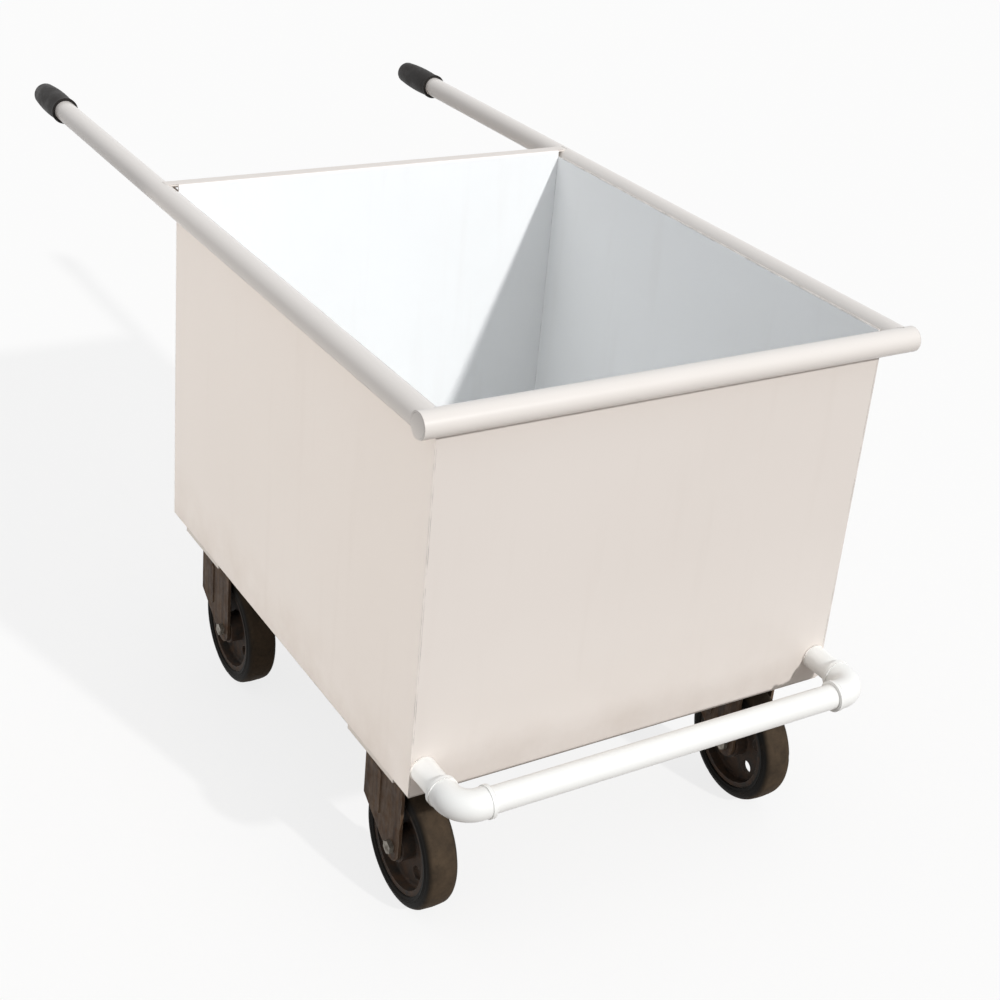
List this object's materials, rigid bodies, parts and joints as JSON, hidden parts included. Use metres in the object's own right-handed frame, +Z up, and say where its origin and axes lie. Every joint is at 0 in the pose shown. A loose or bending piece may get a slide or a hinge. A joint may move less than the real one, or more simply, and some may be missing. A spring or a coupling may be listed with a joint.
{
  "type": "offal cart",
  "caption": "Open rectangular sheet-steel tub on swivel casters, with a tube rim that runs on as gripped handles and a tube bumper at the foot.",
  "frame": {"origin": "on the floor, under the middle of the whole cart's box", "axes": "+Z up, +Y from the bumper towards the handles, +X to the cart's right seen from the bumper end"},
  "size_m": [0.8268, 1.641, 0.8663],
  "materials": {
    "tub_paint": "semi-gloss off-white enamel on sheet steel",
    "bumper_paint": "gloss white enamel on tube",
    "frame_paint": "off-white enamel, dusty",
    "grip_rubber": "matt black moulded rubber",
    "tyre": "matt black solid rubber, dusty",
    "wheel_casting": "cast iron, dull",
    "caster_steel": "pressed steel gone brown",
    "zinc_fastener": "dull zinc plate",
    "bearing_steel": "hardened steel ball",
    "bush_bronze": "plain bronze"
  },
  "bodies": {
    "root": {"bumper_bar": "bumper_paint", "caster_bolts": "zinc_fastener", "caster_nuts": "zinc_fastener", "caster_pads": "frame_paint", "caster_washers": "zinc_fastener", "floor_panel": "tub_paint", "front_cross_channel": "frame_paint", "front_left_kingpin": "caster_steel", "front_left_top_plate": "caster_steel", "front_panel": "tub_paint", "front_rail": "frame_paint", "front_right_kingpin": "caster_steel", "front_right_top_plate": "caster_steel", "front_rim_tube": "tub_paint", "handle_gussets": "tub_paint", "left_bumper_elbow": "bumper_paint", "left_bumper_leg": "bumper_paint", "left_grip": "grip_rubber", "left_panel": "tub_paint", "left_rail": "frame_paint", "left_rim_tube": "tub_paint", "rear_cross_channel": "frame_paint", "rear_left_kingpin": "caster_steel", "rear_left_top_plate": "caster_steel", "rear_panel": "tub_paint", "rear_rail": "frame_paint", "rear_right_kingpin": "caster_steel", "rear_right_top_plate": "caster_steel", "right_bumper_elbow": "bumper_paint", "right_bumper_leg": "bumper_paint", "right_grip": "grip_rubber", "right_panel": "tub_paint", "right_rail": "frame_paint", "right_rim_tube": "tub_paint", "rim_end_caps": "tub_paint"},
    "front_left_swivel": {"front_left_fork": "caster_steel", "front_left_axle": "zinc_fastener", "front_left_race_balls": "bearing_steel"},
    "front_left_wheel": {"front_left_wheel_core": "wheel_casting", "front_left_tyre": "tyre", "front_left_wheel_bushes": "bush_bronze"},
    "front_right_swivel": {"front_right_fork": "caster_steel", "front_right_axle": "zinc_fastener", "front_right_race_balls": "bearing_steel"},
    "front_right_wheel": {"front_right_wheel_core": "wheel_casting", "front_right_tyre": "tyre", "front_right_wheel_bushes": "bush_bronze"},
    "rear_left_swivel": {"rear_left_fork": "caster_steel", "rear_left_axle": "zinc_fastener", "rear_left_race_balls": "bearing_steel"},
    "rear_left_wheel": {"rear_left_wheel_core": "wheel_casting", "rear_left_tyre": "tyre", "rear_left_wheel_bushes": "bush_bronze"},
    "rear_right_swivel": {"rear_right_fork": "caster_steel", "rear_right_axle": "zinc_fastener", "rear_right_race_balls": "bearing_steel"},
    "rear_right_wheel": {"rear_right_wheel_core": "wheel_casting", "rear_right_tyre": "tyre", "rear_right_wheel_bushes": "bush_bronze"}
  },
  "joints": [
    {"name": "front_left_swivel_turn", "type": "hinge", "parent": "root", "child": "front_left_swivel", "pos_m": [-0.3075, -0.57452, 0.228], "axis": [0, 0, 1], "continuous": true},
    {"name": "front_left_wheel_spin", "type": "hinge", "parent": "front_left_swivel", "child": "front_left_wheel", "pos_m": [-0.3075, -0.61252, 0.1], "axis": [1, 0, 0], "continuous": true},
    {"name": "front_right_swivel_turn", "type": "hinge", "parent": "root", "child": "front_right_swivel", "pos_m": [0.3075, -0.57452, 0.228], "axis": [0, 0, 1], "continuous": true},
    {"name": "front_right_wheel_spin", "type": "hinge", "parent": "front_right_swivel", "child": "front_right_wheel", "pos_m": [0.3075, -0.61252, 0.1], "axis": [1, 0, 0], "continuous": true},
    {"name": "rear_left_swivel_turn", "type": "hinge", "parent": "root", "child": "rear_left_swivel", "pos_m": [-0.3075, 0.06148, 0.228], "axis": [0, 0, 1], "continuous": true},
    {"name": "rear_left_wheel_spin", "type": "hinge", "parent": "rear_left_swivel", "child": "rear_left_wheel", "pos_m": [-0.3075, 0.02347, 0.1], "axis": [1, 0, 0], "continuous": true},
    {"name": "rear_right_swivel_turn", "type": "hinge", "parent": "root", "child": "rear_right_swivel", "pos_m": [0.3075, 0.06148, 0.228], "axis": [0, 0, 1], "continuous": true},
    {"name": "rear_right_wheel_spin", "type": "hinge", "parent": "rear_right_swivel", "child": "rear_right_wheel", "pos_m": [0.3075, 0.02347, 0.1], "axis": [1, 0, 0], "continuous": true}
  ]
}
